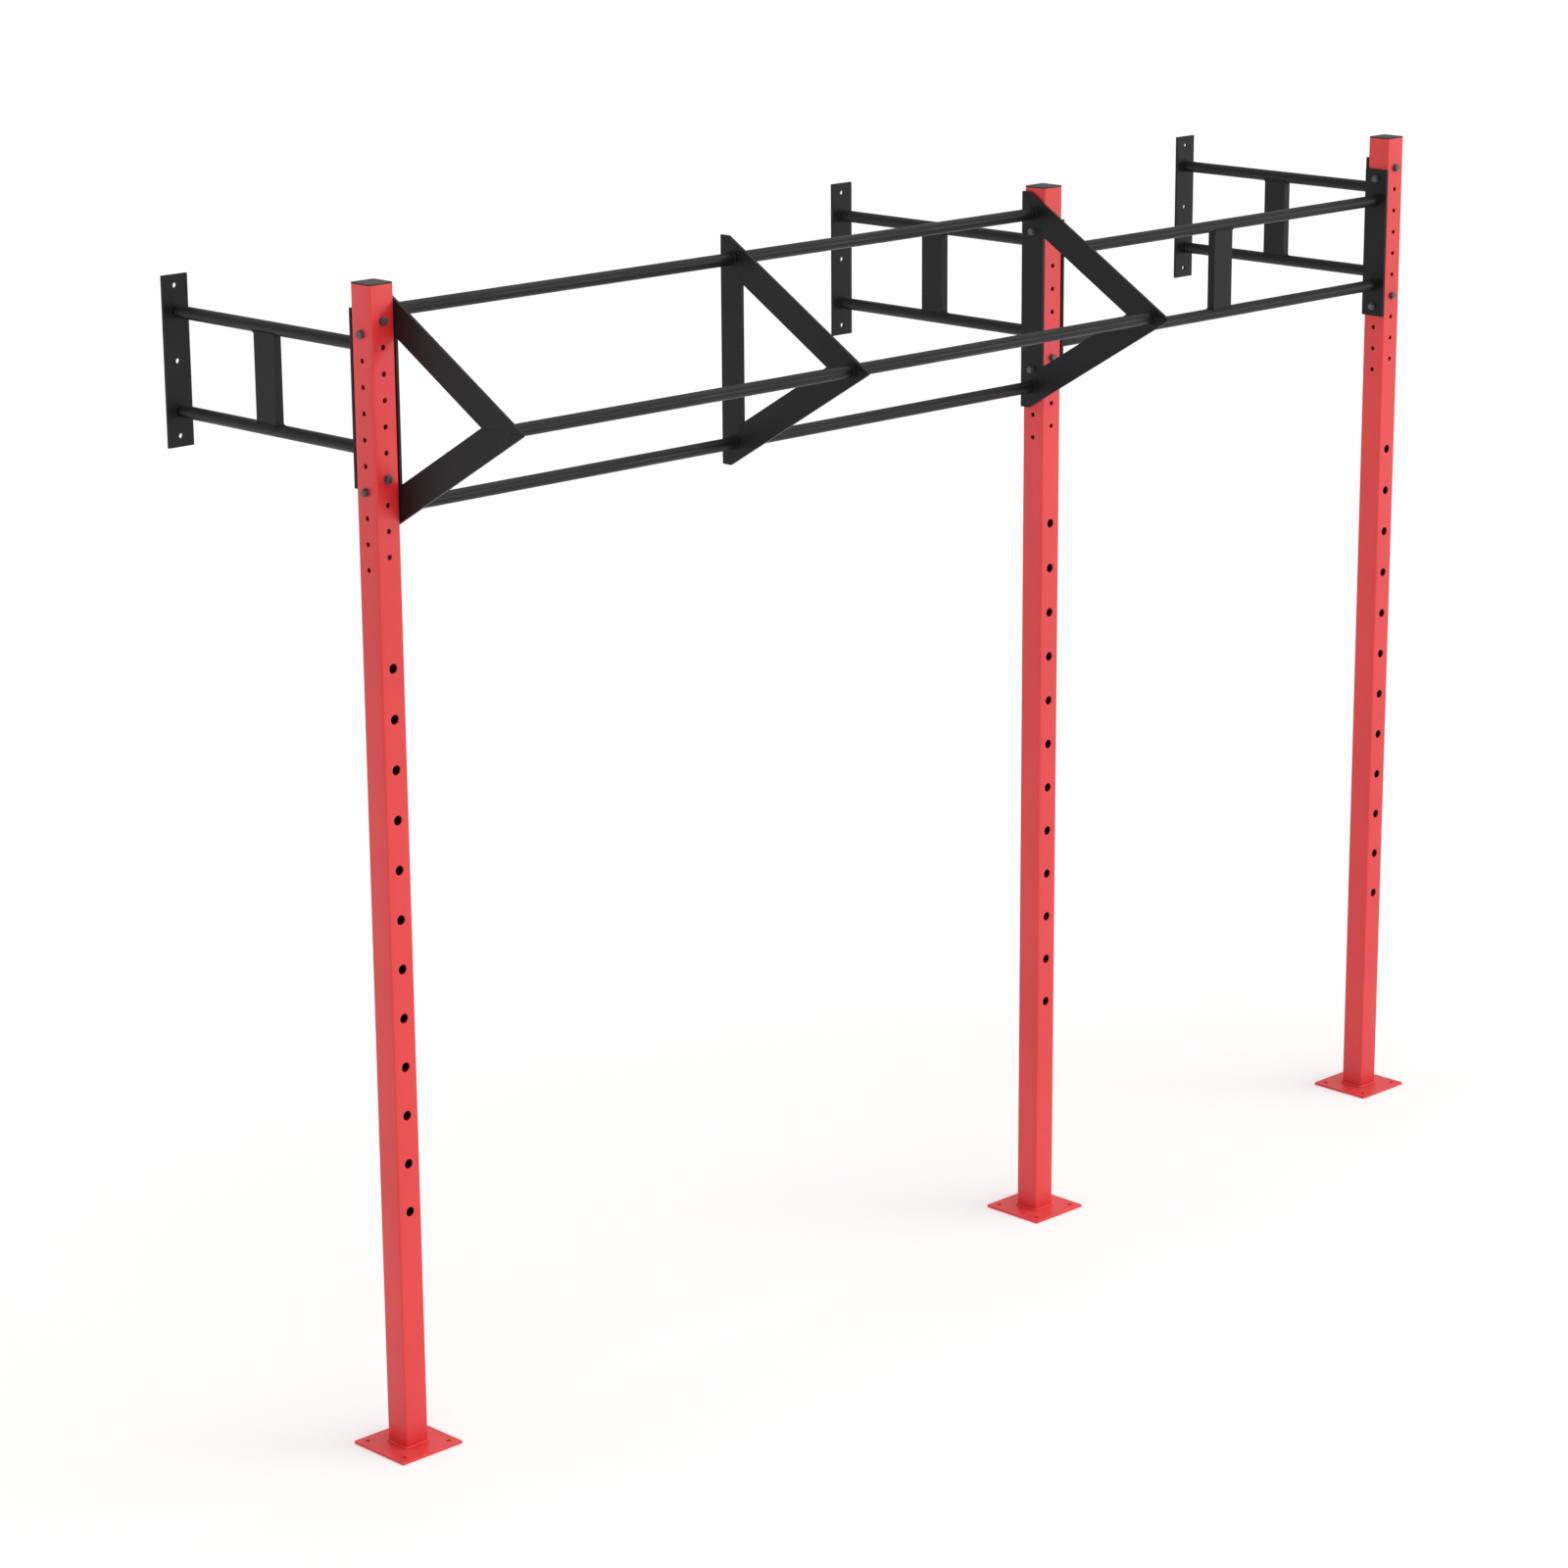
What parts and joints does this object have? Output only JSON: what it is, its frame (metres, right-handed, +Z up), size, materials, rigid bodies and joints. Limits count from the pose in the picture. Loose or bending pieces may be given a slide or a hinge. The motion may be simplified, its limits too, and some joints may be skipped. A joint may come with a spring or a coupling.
{
  "type": "wall-mounted pull-up rig",
  "caption": "Wall-mounted steel training rig with square uprights, welded wall brackets, a triangular pull-up frame over one bay and a flat crossmember over the other.",
  "frame": {"origin": "on the floor under the middle of the rig's bounding box", "axes": "+X along the row of uprights from the long bay to the short bay, +Y towards the wall, +Z up"},
  "size_m": [4.195, 1.312, 3.065],
  "materials": {
    "red_powder_coat": "satin",
    "black_powder_coat": "satin",
    "black_end_caps": "matte",
    "grey_fasteners": "satin"
  },
  "bodies": {
    "root": {"left_base_plate": "red_powder_coat", "left_upright": "red_powder_coat", "left_upright_cap": "black_end_caps", "left_bracket_wall_plate": "black_powder_coat", "left_bracket_post_plate": "black_powder_coat", "left_bracket_upper_bar": "black_powder_coat", "left_bracket_lower_bar": "black_powder_coat", "left_bracket_strut": "black_powder_coat", "left_triangle_leg": "black_powder_coat", "left_triangle_upper_arm": "black_powder_coat", "left_triangle_lower_arm": "black_powder_coat", "left_bracket_bolts": "grey_fasteners", "left_bracket_nuts": "grey_fasteners", "left_bracket_washers": "grey_fasteners", "left_side_bolts": "grey_fasteners", "left_side_nuts": "grey_fasteners", "left_side_washers": "grey_fasteners", "middle_base_plate": "red_powder_coat", "middle_upright": "red_powder_coat", "middle_upright_cap": "black_end_caps", "middle_bracket_wall_plate": "black_powder_coat", "middle_bracket_post_plate": "black_powder_coat", "middle_bracket_upper_bar": "black_powder_coat", "middle_bracket_lower_bar": "black_powder_coat", "middle_bracket_strut": "black_powder_coat", "middle_triangle_leg": "black_powder_coat", "middle_triangle_upper_arm": "black_powder_coat", "middle_triangle_lower_arm": "black_powder_coat", "middle_bracket_bolts": "grey_fasteners", "middle_bracket_nuts": "grey_fasteners", "middle_bracket_washers": "grey_fasteners", "middle_side_bolts": "grey_fasteners", "middle_side_nuts": "grey_fasteners", "middle_side_washers": "grey_fasteners", "right_base_plate": "red_powder_coat", "right_upright": "red_powder_coat", "right_upright_cap": "black_end_caps", "right_bracket_wall_plate": "black_powder_coat", "right_bracket_post_plate": "black_powder_coat", "right_bracket_upper_bar": "black_powder_coat", "right_bracket_lower_bar": "black_powder_coat", "right_bracket_strut": "black_powder_coat", "right_triangle_leg": "black_powder_coat", "right_triangle_upper_arm": "black_powder_coat", "right_triangle_lower_arm": "black_powder_coat", "right_bracket_bolts": "grey_fasteners", "right_bracket_nuts": "grey_fasteners", "right_bracket_washers": "grey_fasteners", "right_side_bolts": "grey_fasteners", "right_side_nuts": "grey_fasteners", "right_side_washers": "grey_fasteners", "pullup_top_bar": "black_powder_coat", "pullup_nose_bar": "black_powder_coat", "pullup_bottom_bar": "black_powder_coat", "crossmember_left_plate": "black_powder_coat", "crossmember_right_plate": "black_powder_coat", "crossmember_upper_bar": "black_powder_coat", "crossmember_lower_bar": "black_powder_coat", "crossmember_strut": "black_powder_coat"}
  },
  "joints": []
}
